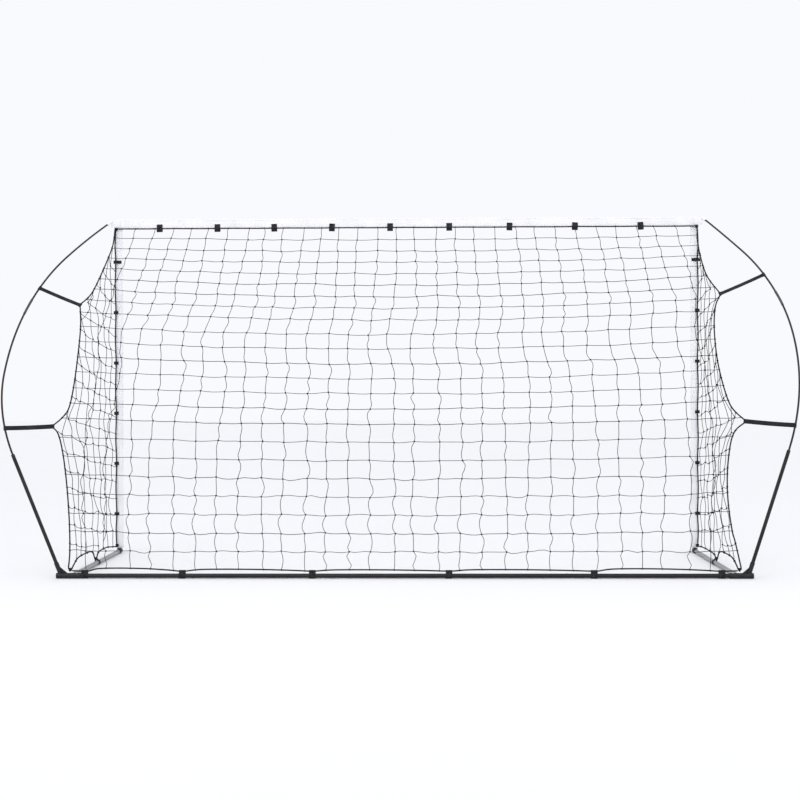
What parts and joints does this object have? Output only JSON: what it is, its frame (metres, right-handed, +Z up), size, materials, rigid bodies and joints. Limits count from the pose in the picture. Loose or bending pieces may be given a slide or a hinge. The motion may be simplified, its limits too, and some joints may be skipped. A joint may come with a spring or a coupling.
{
  "type": "portable bow-frame hockey goal",
  "caption": "Portable hockey goal: steel ground frame, bent side poles that tension a fabric crossbar and posts, and a knotted net held by straps and tabs.",
  "frame": {"origin": "on the ground, at the middle of the goal's footprint", "axes": "+X along the rear ground bar, to the right for someone standing behind the goal; +Y from the rear bar towards the mouth; +Z up"},
  "size_m": [4.5106, 1.131, 2.1701],
  "materials": {
    "rear_bar_paint": "satin",
    "side_bar_paint": "satin",
    "connector_paint": "satin",
    "bow_tube_paint": "satin",
    "fibreglass": "satin",
    "ferrule_steel": "satin",
    "black_plastic": "matte",
    "white_fabric": "matte",
    "black_webbing": "matte",
    "hook_and_loop": "matte",
    "rope": "matte",
    "net_twine": "matte",
    "elastic_cord": "matte",
    "button_steel": "satin",
    "spring_steel": "satin"
  },
  "bodies": {
    "goal": {"bow_lower_tube_left": "bow_tube_paint", "bow_lower_tube_right": "bow_tube_paint", "connector_cap_left": "black_plastic", "connector_cap_right": "black_plastic", "corner_connector_left": "connector_paint", "corner_connector_right": "connector_paint", "corner_pocket_left": "white_fabric", "corner_pocket_right": "white_fabric", "crossbar": "white_fabric", "crossbar_tabs": "hook_and_loop", "foot_loops": "black_webbing", "front_foot_left": "black_plastic", "front_foot_right": "black_plastic", "ground_ties": "hook_and_loop", "net_rear": "net_twine", "net_rope_bottom": "rope", "net_rope_edge_left": "rope", "net_rope_edge_right": "rope", "net_rope_post_left": "rope", "net_rope_post_right": "rope", "net_rope_side_left": "rope", "net_rope_side_right": "rope", "net_rope_top": "rope", "net_side_left": "net_twine", "net_side_right": "net_twine", "pole_ferrule_left": "ferrule_steel", "pole_ferrule_right": "ferrule_steel", "pole_lower_left": "fibreglass", "pole_lower_right": "fibreglass", "pole_reducer_left": "black_plastic", "pole_reducer_right": "black_plastic", "pole_tip_left": "black_plastic", "pole_tip_right": "black_plastic", "pole_upper_left": "fibreglass", "pole_upper_right": "fibreglass", "post_left": "white_fabric", "post_right": "white_fabric", "post_tabs_left": "hook_and_loop", "post_tabs_right": "hook_and_loop", "rear_bar_left_end": "rear_bar_paint", "rear_bar_left_mid": "rear_bar_paint", "rear_bar_right_end": "rear_bar_paint", "rear_bar_right_mid": "rear_bar_paint", "shock_cord_left": "elastic_cord", "shock_cord_right": "elastic_cord", "side_bar_left": "side_bar_paint", "side_bar_right": "side_bar_paint", "snap_springs": "spring_steel", "strap_lower_left": "black_webbing", "strap_lower_right": "black_webbing", "strap_upper_left": "black_webbing", "strap_upper_right": "black_webbing"},
    "rear_left_button": {"snap_button_rear_left": "button_steel"},
    "rear_centre_button": {"snap_button_rear_centre": "button_steel"},
    "rear_right_button": {"snap_button_rear_right": "button_steel"},
    "corner_left_button": {"snap_button_corner_left": "button_steel"},
    "corner_right_button": {"snap_button_corner_right": "button_steel"},
    "side_left_button": {"snap_button_side_left": "button_steel"},
    "side_right_button": {"snap_button_side_right": "button_steel"}
  },
  "joints": [
    {"name": "rear_left_button_press", "type": "slide", "parent": "goal", "child": "rear_left_button", "axis": [0, 0, -1], "range_m": [0, 0.0052], "stiffness_N_per_m": 600, "springref_m": -0.006, "deforming": ["snap_springs"]},
    {"name": "rear_centre_button_press", "type": "slide", "parent": "goal", "child": "rear_centre_button", "axis": [0, 0, -1], "range_m": [0, 0.0052], "stiffness_N_per_m": 600, "springref_m": -0.006, "deforming": ["snap_springs"]},
    {"name": "rear_right_button_press", "type": "slide", "parent": "goal", "child": "rear_right_button", "axis": [0, 0, -1], "range_m": [0, 0.0052], "stiffness_N_per_m": 600, "springref_m": -0.006, "deforming": ["snap_springs"]},
    {"name": "corner_left_button_press", "type": "slide", "parent": "goal", "child": "corner_left_button", "axis": [0, 0, -1], "range_m": [0, 0.0064], "stiffness_N_per_m": 600, "springref_m": -0.006, "deforming": ["snap_springs"]},
    {"name": "corner_right_button_press", "type": "slide", "parent": "goal", "child": "corner_right_button", "axis": [0, 0, -1], "range_m": [0, 0.0064], "stiffness_N_per_m": 600, "springref_m": -0.006, "deforming": ["snap_springs"]},
    {"name": "side_left_button_press", "type": "slide", "parent": "goal", "child": "side_left_button", "axis": [0, 0, -1], "range_m": [0, 0.0052], "stiffness_N_per_m": 600, "springref_m": -0.006, "deforming": ["snap_springs"]},
    {"name": "side_right_button_press", "type": "slide", "parent": "goal", "child": "side_right_button", "axis": [0, 0, -1], "range_m": [0, 0.0052], "stiffness_N_per_m": 600, "springref_m": -0.006, "deforming": ["snap_springs"]}
  ]
}
